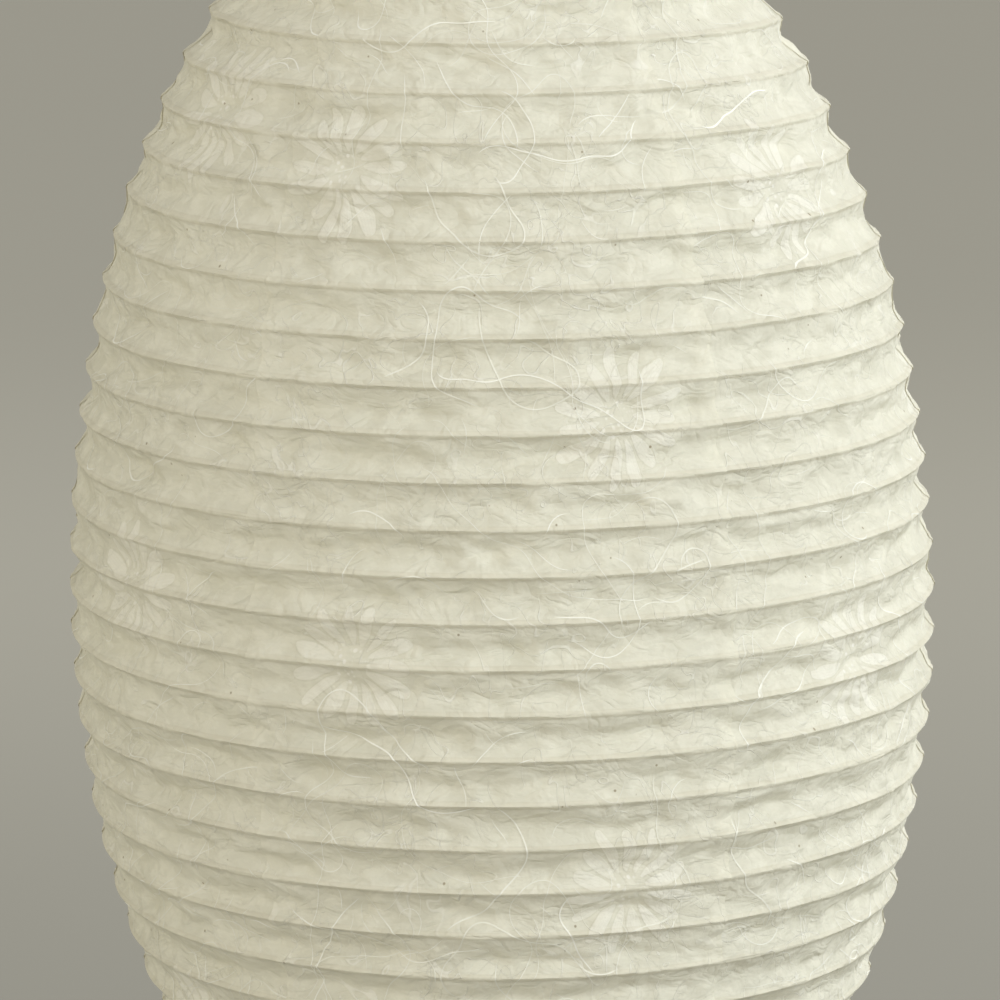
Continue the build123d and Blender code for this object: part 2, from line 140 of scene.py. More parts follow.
# --- sizes and colours ----------------------------------------------------------------------------
class PaperSettings(bpy.types.PropertyGroup):
    """The pleated washi body."""

    body_radius: FloatProperty(
        name="Body radius", description="Pleat crest at the widest place", default=0.125, unit="LENGTH"
    )
    mouth_radius: FloatProperty(
        name="Mouth radius", description="Pleat crest at both mouths", default=0.051, unit="LENGTH"
    )
    lower_height: FloatProperty(
        name="Lower height",
        description="Lower end of the spiral to the widest place",
        default=0.1866,
        unit="LENGTH",
    )
    pleat_depth: FloatProperty(
        name="Pleat depth", description="Crest to valley at the mouths", default=0.0032, unit="LENGTH"
    )
    pleat_depth_wide: FloatProperty(
        name="Pleat depth, wide",
        description="Crest to valley at the widest place",
        default=0.0027,
        unit="LENGTH",
    )
    valley_place: FloatProperty(
        name="Valley place",
        description="Where the valley lies, as a share of the way up from one crest to the next",
        default=0.47,
        subtype="FACTOR",
    )
    crumple: FloatProperty(
        name="Crumple", description="Height of the crumpled facets", default=0.0019, unit="LENGTH"
    )
    rod_ridge: FloatProperty(
        name="Rod ridge",
        description="How far the rod stands up under the paper",
        default=0.0005,
        unit="LENGTH",
    )
    seam_phase: FloatProperty(
        name="Seam phase",
        description="Turn of the seams about +Z",
        default=math.radians(-1.8),
        subtype="ANGLE",
    )
    lap: FloatProperty(
        name="Lap",
        description="How far the odd gores lie over the even ones",
        default=0.0054,
        unit="LENGTH",
    )
    columns: IntProperty(name="Columns", description="Mesh columns in one gore", default=132, min=8)
    fibres: IntProperty(name="Fibres", description="Long fibres in one gore", default=230, min=0)
    colour: FloatVectorProperty(
        name="Paper colour", description="Unlit washi", default=(0.79, 0.785, 0.70), subtype="COLOR"
    )
    fibre_colour: FloatVectorProperty(
        name="Fibre colour", description="Long mulberry fibres", default=(0.97, 0.97, 0.93), subtype="COLOR"
    )
    daisy_wide: FloatProperty(
        name="Daisy spacing across", description="Two columns of daisies", default=0.1513, unit="LENGTH"
    )
    daisy_tall: FloatProperty(
        name="Daisy spacing up", description="Daisies in one column", default=0.131, unit="LENGTH"
    )
    daisy_radius: FloatProperty(name="Daisy radius", description="Petal tips", default=0.0185, unit="LENGTH")
    first_cut: FloatVectorProperty(
        name="First cut",
        description="Where gore 1 is cut from the printed sheet",
        size=2,
        default=(-0.0372, 0.003),
    )
    next_cut: FloatVectorProperty(
        name="Next cut", description="How far on each next gore is cut", size=2, default=(0.0506, -0.055)
    )


class WoodSettings(bpy.types.PropertyGroup):
    """Rims, grip, candle bar and rib."""

    rim_colour: FloatVectorProperty(
        name="Rim colour", description="Oiled bentwood", default=(0.42, 0.25, 0.12), subtype="COLOR"
    )
    grip_colour: FloatVectorProperty(
        name="Grip colour",
        description="Oiled grip and candle bar",
        default=(0.25, 0.13, 0.06),
        subtype="COLOR",
    )
    lap_angle: FloatProperty(
        name="Lap angle",
        description="Where the bent strips end",
        default=math.radians(128),
        subtype="ANGLE",
    )
    bamboo_colour: FloatVectorProperty(
        name="Bamboo colour", description="Split bamboo rod", default=(0.55, 0.42, 0.22), subtype="COLOR"
    )


class MetalSettings(bpy.types.PropertyGroup):
    """Brass fittings, wire and dish."""

    brass_colour: FloatVectorProperty(
        name="Brass colour", description="Aged brass", default=(0.62, 0.42, 0.17), subtype="COLOR"
    )
    wire_colour: FloatVectorProperty(
        name="Wire colour", description="Blackened wire", default=(0.035, 0.033, 0.03), subtype="COLOR"
    )
    dish_colour: FloatVectorProperty(
        name="Dish colour", description="Tinned steel dish", default=(0.56, 0.55, 0.53), subtype="COLOR"
    )


class StageSettings(bpy.types.PropertyGroup):
    """Floor, light and camera."""

    floor_drop: FloatProperty(
        name="Floor drop", description="Lowest point to the floor", default=0.42, unit="LENGTH"
    )
    floor_colour: FloatVectorProperty(
        name="Floor colour", description="Pale floor", default=(0.40, 0.395, 0.365), subtype="COLOR"
    )
    lens: FloatProperty(name="Lens", description="Focal length in millimetres", default=215.0)
    distance: FloatProperty(
        name="Distance", description="Camera to the point it aims at", default=1.731, unit="LENGTH"
    )
    pitch: FloatProperty(
        name="Pitch",
        description="How far down the camera looks",
        default=math.radians(11.0),
        subtype="ANGLE",
    )
    roll: FloatProperty(
        name="Roll", description="Turn about the line of sight", default=-0.0231, subtype="ANGLE"
    )
    aim_above_widest: FloatProperty(
        name="Aim", description="Aimed point above the widest place", default=0.0299, unit="LENGTH"
    )


# --- shader maths ---------------------------------------------------------------------------------
class Signal:
    """A socket on its way through a material. Arithmetic on it adds Math nodes."""

    def __init__(self, finish, socket):
        self.finish, self.socket = finish, socket

    def math(self, operation, *others):
        return self.finish.node("ShaderNodeMath", {"operation": operation}, [self, *others])

    def __add__(self, other):
        return self.math("ADD", other)

    def __sub__(self, other):
        return self.math("SUBTRACT", other)

    def __rsub__(self, other):
        return self.finish.node("ShaderNodeMath", {"operation": "SUBTRACT"}, [other, self])

    def __mul__(self, other):
        return self.math("MULTIPLY", other)

    def __truediv__(self, other):
        return self.math("DIVIDE", other)

    def __pow__(self, other):
        return self.math("POWER", other)

    __radd__, __rmul__ = __add__, __mul__

    def __abs__(self):
        return self.math("ABSOLUTE")

    def band(self, low, high):
        """0 below low, 1 above high, smooth between; high may be the smaller."""
        return self.finish.node(
            "ShaderNodeMapRange", {"interpolation_type": "SMOOTHSTEP"}, [self, low, high, 0.0, 1.0]
        )


class Finish:
    """One material, built node by node."""

    def __init__(self, name):
        self.material = bpy.data.materials.new(name)
        self.material.use_nodes = True
        self.tree = self.material.node_tree
        self.tree.nodes.clear()

    def node(self, kind, options=None, inputs=(), output=0):
        """Adds a node: its settings, then its sockets' values or links. Returns one output, if any."""
        made = self.tree.nodes.new(kind)
        for key, value in (options or {}).items():
            if key == "stops":
                ramp = made.color_ramp
                while len(ramp.elements) < len(value):
                    ramp.elements.new(0.5)
                for element, (place, shade) in zip(ramp.elements, value):
                    element.position, element.color = place, (*shade, 1) if len(shade) == 3 else shade
            else:
                setattr(made, key, value)
        named = inputs.items() if isinstance(inputs, dict) else enumerate(inputs)
        for key, value in named:
            socket = made.inputs[key]
            if isinstance(value, Signal):
                self.tree.links.new(value.socket, socket)
            elif socket.type == "RGBA" and len(value) == 3:
                socket.default_value = (*value, 1)
            else:
                socket.default_value = value
        return Signal(self, made.outputs[output]) if made.outputs else None

    def place(self):
        return self.node("ShaderNodeTexCoord", output="Object")

    def stretch(self, vector, scale):
        return self.node("ShaderNodeVectorMath", {"operation": "MULTIPLY"}, [vector, scale])

    def parts(self, vector):
        made = self.node("ShaderNodeSeparateXYZ", inputs=[vector]).socket.node
        return [Signal(self, socket) for socket in made.outputs]

    def joined(self, x, y, z=0.0):
        return self.node("ShaderNodeCombineXYZ", inputs=[x, y, z])

    def noise(self, vector, scale, detail=3.0, rough=0.5, distortion=0.0):
        return self.node(
            "ShaderNodeTexNoise",
            inputs={
                "Vector": vector,
                "Scale": scale,
                "Detail": detail,
                "Roughness": rough,
                "Distortion": distortion,
            },
        )

    def cells(self, vector, scale, output="Distance", **inputs):
        return self.node(
            "ShaderNodeTexVoronoi", inputs={"Vector": vector, "Scale": scale, **inputs}, output=output
        )

    def blend(self, share, first, second):
        """Mixes two colours."""
        return self.node("ShaderNodeMix", {"data_type": "RGBA"}, {0: share, 6: first, 7: second}, 2)

    def bump(self, height, strength, distance):
        return self.node(
            "ShaderNodeBump", inputs={"Strength": strength, "Distance": distance, "Height": height}
        )

    def shader(self, **inputs):
        return self.node(
            "ShaderNodeBsdfPrincipled",
            inputs={key.replace("_", " "): value for key, value in inputs.items()},
        )

    def done(self, surface):
        self.node("ShaderNodeOutputMaterial", inputs={"Surface": surface})
        return self.material


# --- finishes -------------------------------------------------------------------------------------
def shade(colour, factor):
    """The colour made darker or lighter, no channel over 1."""
    return tuple(min(c * factor, 1.0) for c in colour)


def washi_finish():
    """Undyed mulberry paper: cloudy pulp, faint fibres, specks, and pressed daisies."""
    paper = bpy.context.scene.lantern_paper
    f = Finish("washi")
    flat = f.node("ShaderNodeUVMap", {"uv_map": "flat_sheet"})
    here = f.place()
    cloud = f.noise(here, 28.0, 4.0, 0.6)
    pulp = f.noise(f.stretch(here, (1.0, 1.0, 1.6)), 120.0, 4.0, 0.65)
    grain = f.noise(here, 900.0, 2.0, 0.6)
    base = f.blend(cloud.band(0.3, 0.7), shade(paper.colour, 0.97), shade(paper.colour, 1.03))
    base = f.blend(pulp.band(0.44, 0.60) * 0.6, base, PULP_COLOUR)
    thread = 0
    for number, (scale, width) in enumerate(THREADS):
        shift = (0.31 * number, 0.17 * number, 0.5 * number)
        moved = f.node("ShaderNodeVectorMath", {"operation": "ADD"}, [flat, shift])
        field = f.noise(moved, scale, 1.0, 0.4, 1.6)
        broken = f.noise(moved, scale * 0.55, 0.0, 0.5).band(0.48, 0.60)
        thread = thread + abs(field - 0.5).band(width, width * 0.3) * broken
    base = f.blend(thread * 0.55, base, tuple(paper.fibre_colour))
    daisy, outlines, dots = daisies(f, flat)
    base = f.blend(daisy * 0.85, base, PETAL_COLOUR)
    base = f.blend(outlines * 0.17, base, OUTLINE_COLOUR)
    base = f.blend(dots * 0.95, base, DOT_COLOUR)
    turns, lapped = f.parts(f.node("ShaderNodeUVMap", {"uv_map": "band_place"}))[:2]
    off = (turns + 0.5).math("FRACT") - 0.5
    # Glue line and painted shade: thin dark lines at both flanks of the rod's ridge, where the paper bends
    # round the rod, broken up by noise.
    worn = f.noise(flat, 150.0, 2.0).band(0.3, 0.6)
    rod = abs(off).band(0.085, 0.055)
    glue_and_shade_line = abs(abs(off) - 0.078).band(0.02, 0.004) * (0.35 + worn * 0.65)
    base = f.blend(rod * 0.16, base, ROD_SHADE)
    base = f.blend(glue_and_shade_line * 0.16, base, GLUE_LINE_AND_SHADE_COLOUR)
    base = f.blend(lapped * 0.3, base, LAP_COLOUR)
    speck = f.cells(flat, 330.0, Randomness=1.0)
    lot = f.parts(f.cells(flat, 330.0, output="Color", Randomness=1.0))[0]
    speck = speck.band(0.16, 0.08) * lot.band(0.965, 0.97)
    base = f.blend(speck * 0.75, base, SPECK_COLOUR)
    squeezed = f.stretch(flat, (1.0, 1.7, 1.0))
    folds = abs(f.noise(squeezed, 95.0, 2.0, 0.5, 0.9) - 0.5)
    folds = folds + abs(f.noise(squeezed, 270.0, 1.0, 0.5, 0.5) - 0.5) * 0.22
    height = grain * 0.04 + pulp * 0.15 + thread * 0.1 + daisy * 0.08 + folds * 1.3
    rough = 0.78 - thread * 0.18 + cloud * 0.08
    bump = f.bump(height, 0.8, 0.0016)
    sheet = f.shader(
        Base_Color=base, Roughness=rough, Normal=bump, IOR=1.35, Specular_IOR_Level=0.25
    )
    glow = f.node("ShaderNodeBsdfTranslucent", inputs={"Color": GLOW_COLOUR, "Normal": bump})
    return f.done(f.node("ShaderNodeMixShader", inputs=[0.22, sheet, glow]))


def daisies(f, flat):
    """Masks of the pressed daisies: petals, their outlines, and the dots at their middles. They stand in
    staggered rows on the flat sheet."""
    paper = bpy.context.scene.lantern_paper
    x, y = f.parts(flat)[:2]
    wide, tall, size = paper.daisy_wide, paper.daisy_tall, paper.daisy_radius
    petals, outlines, dots = 0, 0, 0
    for shift in (0.0, 0.5):
        column = (x / wide + shift).math("FLOOR")
        row = (y / tall + shift).math("FLOOR")
        across = ((x / wide + shift) - column - 0.5) * wide
        along = ((y / tall + shift) - row - 0.5) * tall
        wobble = f.noise(f.joined(x, y), 75.0, 1.0) - 0.5
        across, along = across + wobble * 0.004, along - wobble * 0.003
        reach = (across * across + along * along) ** 0.5
        turn = along.math("ARCTAN2", across) * (PETALS / math.tau) + column * 0.37 + row * 0.71
        petal = turn.math("FLOOR")
        own = f.parts(f.node("ShaderNodeTexWhiteNoise", inputs=[f.joined(petal, column, row)], output=1))
        aside = (turn - petal - 0.5 + (own[0] - 0.5) * 0.22) * (math.tau / PETALS) * reach
        length = (reach - DAISY_EYE) / (size * (0.88 + own[1] * 0.22) - DAISY_EYE)
        within = length.math("MAXIMUM", 0.0).math("MINIMUM", 1.0)
        bulge = (within**1.5 * math.pi).math("SINE") ** 0.4
        edge = abs(aside) - bulge * (0.0016 + own[2] * 0.0007)
        inside = edge.band(0.0001, -0.0003) * length.band(0.0, 0.05) * length.band(1.0, 0.97)
        veins = abs((aside * 4200.0 + own[0] * 9.0).math("SINE")).band(0.0, 0.5)
        petals = petals + inside * (0.7 + own[1] * 0.3) * (0.72 + veins * 0.28)
        rim = edge.band(0.0005, 0.0001) * edge.band(-0.0002, 0.0001)
        outlines = outlines + rim * length.band(0.0, 0.1) * length.band(1.1, 1.0)
        core = reach.band(0.0060, 0.0050)
        dots = dots + core * f.cells(f.joined(across, along), 560.0, Randomness=0.7).band(0.42, 0.2)
    return petals, outlines, dots


def fibre_finish():
    """Long bleached mulberry fibres that lie in the sheet."""
    paper = bpy.context.scene.lantern_paper
    f = Finish("kozo_fibre")
    bright = f.node("ShaderNodeAttribute", {"attribute_name": "brightness"}, output="Fac")
    along = f.noise(f.place(), 400.0, 2.0)
    colour = f.blend(bright, tuple(paper.colour), tuple(paper.fibre_colour))
    colour = f.blend(along * 0.2, colour, (0.80, 0.77, 0.64))
    sheet = f.shader(
        Base_Color=colour, Roughness=0.5 + along * 0.15, Normal=f.bump(along, 0.3, 0.0001)
    )
    return f.done(sheet)


def wood_finish(name, colour, ring=False):
    """Oiled wood with its grain along X, or round Z where ring is set."""
    f = Finish(name)
    x, y, z = f.parts(f.place())
    if ring:
        turn = y.math("ARCTAN2", x)
        reach = (x * x + y * y) ** 0.5
        grain_place = f.joined(turn * 0.045, reach * 22.0, z * 22.0)
    else:
        grain_place = f.joined(x * 0.9, y * 18.0, z * 18.0)
    warp = f.noise(grain_place, 9.0, 2.0, 0.5)
    streak = f.noise(grain_place, 34.0, 5.0, 0.62, 0.6)
    pores = f.noise(f.stretch(grain_place, (3.0, 3.0, 3.0)), 60.0, 2.0, 0.6)
    dark, light = shade(colour, 0.48), shade(colour, 1.35)
    tone = f.node(
        "ShaderNodeValToRGB",
        {"stops": [(0.25, dark), (0.5, tuple(colour)), (0.78, light)]},
        [streak * 0.75 + warp * 0.25],
    )
    tone = f.blend(pores.band(0.60, 0.72) * 0.6, tone, shade(colour, 0.3))
    edge = f.node("ShaderNodeNewGeometry", output="Pointiness")
    tone = f.blend(edge.band(0.505, 0.56) * 0.4, tone, light)
    rough = 0.38 + streak * 0.25 + pores.band(0.6, 0.72) * 0.2
    bump = f.bump(streak * 0.5 - pores.band(0.58, 0.72), 0.35, 0.0003)
    return f.done(f.shader(Base_Color=tone, Roughness=rough, Normal=bump, Coat_Weight=0.12))


def bamboo_finish():
    """Split bamboo rod, fibres along its length."""
    colour = bpy.context.scene.lantern_wood.bamboo_colour
    f = Finish("bamboo")
    flat = f.node("ShaderNodeUVMap", {"uv_map": "along_rod"})
    u, v = f.parts(flat)[:2]
    fibre = f.noise(f.joined(u * 0.6, v * 40.0), 30.0, 4.0, 0.6)
    joint = abs((u / 0.31).math("FRACT") - 0.5).band(0.006, 0.002)
    tone = f.blend(fibre.band(0.3, 0.7), shade(colour, 0.62), shade(colour, 1.25))
    tone = f.blend(joint * 0.7, tone, BAMBOO_JOINT_COLOUR)
    rough = 0.42 + fibre * 0.2
    return f.done(f.shader(Base_Color=tone, Roughness=rough, Normal=f.bump(fibre, 0.4, 0.0002)))


def trim_finish():
    """Heavier folded paper strip over the pasted margin."""
    f = Finish("trim_paper")
    here = f.place()
    x, y, z = f.parts(here)
    turn = y.math("ARCTAN2", x)
    laid = f.noise(f.joined(turn * 0.6, z * 4.0), 60.0, 4.0, 0.6)
    pulp = f.noise(here, 260.0, 4.0, 0.65)
    tone = f.blend(pulp.band(0.35, 0.65), (0.70, 0.62, 0.42), (0.80, 0.73, 0.54))
    tone = f.blend(laid.band(0.5, 0.66) * 0.4, tone, (0.86, 0.81, 0.66))
    bump = f.bump(pulp + laid * 0.6, 0.5, 0.0004)
    return f.done(f.shader(Base_Color=tone, Roughness=0.7 + pulp * 0.15, Normal=bump))


def metal_finish(name, colour, rough, worn):
    """Metal with smudges, fine scratches, patches of darker tarnish and brighter edges."""
    f = Finish(name)
    here = f.place()
    smudge = f.noise(here, 90.0, 4.0, 0.6)
    tarnish = f.noise(here, 38.0, 3.0, 0.6, 0.4)
    scratch = f.noise(f.stretch(here, (14.0, 14.0, 1.0)), 60.0, 3.0, 0.7)
    edge = f.node("ShaderNodeNewGeometry", output="Pointiness")
    dull, bright = shade(colour, 0.45), shade(colour, 1.3)
    tone = f.blend(tarnish.band(0.42, 0.68) * worn, tuple(colour), dull)
    tone = f.blend(edge.band(0.51, 0.58) * 0.6, tone, bright)
    rough = rough + smudge * 0.22 + tarnish.band(0.45, 0.7) * 0.12
    bump = f.bump(scratch * 0.4 + smudge * 0.3, 0.25, 0.00015)
    return f.done(f.shader(Base_Color=tone, Metallic=1.0, Roughness=rough, Normal=bump))


# --- mesh helpers ---------------------------------------------------------------------------------
def new_object(name, vertices, faces, material):
    """A smooth-shaded mesh in the scene."""
    mesh = bpy.data.meshes.new(name)
    mesh.from_pydata([tuple(v) for v in vertices], [], [tuple(q) for q in faces])
    mesh.validate()
    made = bpy.data.objects.new(name, mesh)
    bpy.context.scene.collection.objects.link(made)
    mesh.materials.append(material)
    mesh.polygons.foreach_set("use_smooth", [True] * len(mesh.polygons))
    return made


def grid_faces(rows, columns, closed=False):
    """Quads of a grid whose vertices are numbered row by row; closed joins its last column to its first."""
    across = columns if closed else columns - 1
    i, j = np.meshgrid(np.arange(rows - 1), np.arange(across), indexing="ij")
    after = (j + 1) % columns
    quads = np.stack(
        [i * columns + j, i * columns + after, (i + 1) * columns + after, (i + 1) * columns + j], -1
    )
    return quads.reshape(-1, 4)


def give_flat_map(mesh, name, values):
    """Stores a pair of numbers for each vertex as a UV map."""
    layer = mesh.uv_layers.new(name=name)
    corners = np.empty(len(mesh.loops), int)
    mesh.loops.foreach_get("vertex_index", corners)
    layer.data.foreach_set("uv", np.asarray(values)[corners].astype(np.float32).ravel())


def lattice(cells, seed):
    """A repeatable number from 0 to 1 for each row of whole numbers."""
    mixed = np.full(cells.shape[:-1], seed * 2654435761 % 2**32, np.uint64)
    for axis in range(cells.shape[-1]):
        whole = (cells[..., axis].astype(np.int64) & 0xFFFFFFFF).astype(np.uint64)
        mixed = (mixed ^ whole) * np.uint64(0x9E3779B1)
        mixed &= np.uint64(0xFFFFFFFF)
        mixed ^= mixed >> np.uint64(15)
    mixed = mixed * np.uint64(0x85EBCA77) & np.uint64(0xFFFFFFFF)
    return ((mixed ^ (mixed >> np.uint64(13))) & np.uint64(0xFFFFFF)).astype(float) / 0xFFFFFF


def jagged(points, cell, seed, smooth=False):
    """Noise from -1 to 1 at points of any dimension. Between lattice points it runs straight, as
    creased paper does, or smoothly."""
    points = np.asarray(points, float) / cell
    low = np.floor(points)
    part = points - low
    if smooth:
        part = part * part * (3 - 2 * part)
    total = 0
    for corner in np.ndindex(*(2,) * points.shape[-1]):
        weight = np.prod(np.where(np.array(corner) == 1, part, 1 - part), axis=-1)
        total = total + weight * lattice(low + np.array(corner), seed)
    return total * 2 - 1


# --- the paper's shape ----------------------------------------------------------------------------
class PaperShape:
    """The pleated surface, as a radius for any angle about +Z and any height."""

    def __init__(self, paper):
        self.body, self.mouth = paper.body_radius, paper.mouth_radius
        self.widest = SPIRAL_FOOT + paper.lower_height
        self.shrink = math.sqrt(1 - (self.mouth / self.body) ** 2)
        self.deep, self.shallow = paper.pleat_depth, paper.pleat_depth_wide
        self.valley_place, self.crumple = paper.valley_place, paper.crumple
        self.rod_ridge = paper.rod_ridge

    def crest(self, z):
        """Radius of the pleat crests."""
        reach = np.where(z < self.widest, self.widest - SPIRAL_FOOT, SPIRAL_TOP - self.widest)
        share = np.minimum(np.abs(z - self.widest) * self.shrink / reach, self.shrink)
        return self.body * np.sqrt(1 - share**2)

    def turns_up(self, angle, z):
        """How many turns of the spiral lie below this place, with its part of a turn."""
        return (z - SPIRAL_FOOT) / PITCH + angle / math.tau

    def along(self, angle, band):
        """Length along the spiral, for noise that follows one pleat."""
        return ((band - angle / math.tau) * math.tau * WANDER_RADIUS)[..., None]

    def valley(self, angle, band):
        """The valley's place between the crests of one band, wandering as the folds do."""
        along = self.along(angle, band)
        wander = 0.075 * jagged(along, 0.031, 5)
        wander = wander + 0.06 * jagged(along, 0.013, 3)
        wander = wander + 0.08 * jagged(along, 0.0055, 7)
        return self.valley_place + wander

    def heights(self, angle, band, step):
        """Height at a step from 0, the crest below, by 0.5, the valley, to 1, the crest above."""
        valley = self.valley(angle, band)
        share = np.where(step < 0.5, step * 2 * valley, valley + (step * 2 - 1) * (1 - valley))
        return SPIRAL_FOOT + PITCH * (band - angle / math.tau + share)

    def radius(self, angle, z):
        """The rod's ridge, straight pleat flanks, a soft valley, and the crumples on them."""
        angle, z = np.broadcast_arrays(np.asarray(angle, float), np.asarray(z, float))
        turns = self.turns_up(angle, z)
        band = np.floor(turns + 1e-9)
        share = np.clip(turns - band, 0, 1)
        valley = self.valley(angle, band)
        step = np.where(share < valley, share / valley, (1 - share) / (1 - valley))
        full = math.hypot(1, VALLEY_ROUND) - VALLEY_ROUND
        fall = 1 - (np.hypot(1 - step, VALLEY_ROUND) - VALLEY_ROUND) / full
        from_crest = PITCH * np.minimum(share, 1 - share)
        ridge = self.rod_ridge * (1 - np.exp(-((from_crest / RIDGE_REACH) ** 4)))
        wide = self.crest(z)
        share_wide = np.clip((wide - self.mouth) / (self.body - self.mouth), 0, 1) ** 2
        depth = self.deep + (self.shallow - self.deep) * share_wide
        along = self.along(angle, band)
        depth = depth * (1 + 0.16 * jagged(along, 0.022, 11) + 0.10 * jagged(along, 0.009, 12))
        low_end = np.clip((z - SPIRAL_FOOT) / MOUTH_EASE, 0, 1)
        ends = low_end * np.clip((SPIRAL_TOP - z) / MOUTH_EASE, 0, 1)
        place = np.stack([wide * np.cos(angle), wide * np.sin(angle), z * 1.8], -1)
        drift = np.stack([jagged(place, 0.016, seed, True) for seed in (31, 32, 33)], -1)
        place = place + drift * 0.0045
        facets = jagged(place, 0.0105, 21) + 0.6 * jagged(place[..., ::-1], 0.0052, 22)
        pinch = np.abs(jagged(place, 0.017, 23))
        crumples = step**0.6 * self.crumple * (facets + 0.3 - 0.9 * pinch)
        sag = 0.0002 * (jagged(place, 0.055, 24, True) + 0.3)
        return wide + ends * (crumples + sag - depth * fall - ridge)

    def point(self, angle, z, lift):
        """Points that lie off the surface by the lift."""
        reach = self.radius(angle, z) + lift
        return np.stack([reach * np.cos(angle), reach * np.sin(angle), z + 0 * reach], -1)


# Mesh rows of one pleat, as steps from its lower crest, 0, by its valley, 0.5, to its upper one, 1.
FLANK_STEPS = 0.5 * np.linspace(0, 1, 12, endpoint=False) ** 1.6
STEPS = (*FLANK_STEPS, 0.5, *(1 - FLANK_STEPS[:0:-1]))


def gore_span(paper, number):
    """The angle at a panel's left seam, and the angle that it covers."""
    width = math.tau / GORES
    return -math.pi / 2 + paper.seam_phase + (number - 1.5) * width, width


def gore_mesh(shape, paper, number, material):
    """One pasted panel, its rows lying along the spiral. Odd panels lap over both their neighbours."""
    left, width = gore_span(paper, number)
    columns = paper.columns
    share = np.linspace(0, 1, columns)
    angle = left + share * width
    rows = []
    for band in range(-2, TURNS + 3):
        for step in STEPS:
            rows.append(shape.heights(angle, np.full(columns, float(band)), np.full(columns, step)))
    z = np.clip(np.array(rows), SPIRAL_FOOT, SPIRAL_TOP)
    used = (z.max(1) > SPIRAL_FOOT) & (z.min(1) < SPIRAL_TOP)
    z = z[used]
    z[0], z[-1] = SPIRAL_FOOT, SPIRAL_TOP
    z = np.vstack([np.full(columns, RIM_HEAD), z, np.full(columns, RIM_FOOT)])
    odd = number % 2
    over = odd * paper.lap / shape.crest(z)
    angle = left - over + share * (width + 2 * over)
    inside = np.minimum(angle - left, left + width - angle) / (paper.lap / shape.crest(z))
    lapped = odd * np.clip(0.1 - inside * 4, 0, 1)
    reach = shape.radius(angle, np.clip(z, SPIRAL_FOOT, SPIRAL_TOP)) + GORE_LIFT * lapped
    reach[0], reach[-1] = RIM_RADIUS + MOUTH_LIFT, RIM_RADIUS + MOUTH_LIFT
    points = np.stack([reach * np.cos(angle), reach * np.sin(angle), z], -1)
    middle = left + width / 2
    flat = np.stack([(angle - middle) * shape.crest(z), z], -1)
    flat += np.array(paper.first_cut) + np.array(paper.next_cut) * (number - 1)
    faces = grid_faces(len(z), columns)
    made = new_object(f"washi_gore_{number}", points.reshape(-1, 3), faces, material)
    give_flat_map(made.data, "flat_sheet", flat.reshape(-1, 2))
    bands = np.stack([shape.turns_up(angle, z), lapped], -1)
    give_flat_map(made.data, "band_place", bands.reshape(-1, 2))
    return made


def fibre_ribbons(shape, paper, number, material):
    """Long curling fibres laid into one panel, each a narrow ribbon that follows the pleats."""
    random = np.random.default_rng(700 + number)
    left, width = gore_span(paper, number)
    pace, count = FIBRE_PACE, 0
    across, heights, faces, brightness = [], [], [], []
    for _ in range(paper.fibres):
        long = random.random() < 0.3
        steps = int((random.uniform(0.025, 0.08) if long else random.uniform(0.006, 0.022)) / pace)
        curving = np.convolve(random.normal(0, 75, steps + 15), np.hanning(18)[1:-1] / 2, "valid")
        heading = random.uniform(0, math.tau) + np.cumsum(curving + random.normal(0, 35)) * pace
        z = random.uniform(SPIRAL_FOOT + 0.008, SPIRAL_TOP - 0.008) + np.cumsum(np.sin(heading)) * pace
        angle = random.uniform(left + 0.03, left + width - 0.03)
        angle = angle + np.cumsum(np.cos(heading) * pace / shape.crest(z))
        inside = (z > SPIRAL_FOOT + 0.004) & (z < SPIRAL_TOP - 0.004)
        inside &= (angle > left + 0.01) & (angle < left + width - 0.01)
        n = steps if inside.all() else int(np.argmin(inside))
        if n < 6:
            continue
        angle, z, heading = angle[:n], z[:n], heading[:n]
        ends = np.minimum(np.arange(n), np.arange(n)[::-1])
        half = random.uniform(0.00006, 0.0002 if long else 0.00015) * np.minimum(1, ends / 4 + 0.25)
        for side in (-half, half):
            across.append(angle - side * np.sin(heading) / shape.crest(z))
            heights.append(z + side * np.cos(heading))
        row = np.arange(n - 1)
        faces.append(np.stack([row, row + 1, row + 1 + n, row + n], -1) + count)
        brightness.append(np.full(2 * n, random.uniform(0.3, 1.0)))
        count += 2 * n
    points = shape.point(np.concatenate(across), np.concatenate(heights), FIBRE_LIFT)
    made = new_object(f"kozo_fibres_{number}", points, np.vstack(faces), material)
    layer = made.data.attributes.new("brightness", "FLOAT", "POINT")
    layer.data.foreach_set("value", np.concatenate(brightness).astype(np.float32))
    return made


def rim_lap(name, angle, low, high, material):
    """The outer end of the bent strip, scarfed thin over its own start."""
    length, columns = 0.62, 40
    share = np.linspace(0, 1, columns)
    turn = angle - 0.3 * length + share * length
    lift = 0.00003 + RIM_LAP_THICK * np.clip(share / 0.9, 0, 1)
    lift[-1] = 0.0
    middle, half = (low + high) / 2, (high - low) / 2
    # Across the strip: place from its middle, and share of the lift there.
    rows = np.array([[-1.0, 0.0], [-0.97, 0.8], [-0.85, 1.0], [0.85, 1.0], [0.97, 0.8], [1.0, 0.0]])
    z = middle + rows[:, :1] * half + 0 * share
    reach = RIM_RADIUS - RIM_SINK + (lift + RIM_SINK) * rows[:, 1:]
    points = np.stack([reach * np.cos(turn), reach * np.sin(turn), z], -1)
    return new_object(name, points.reshape(-1, 3), grid_faces(len(rows), columns), material)


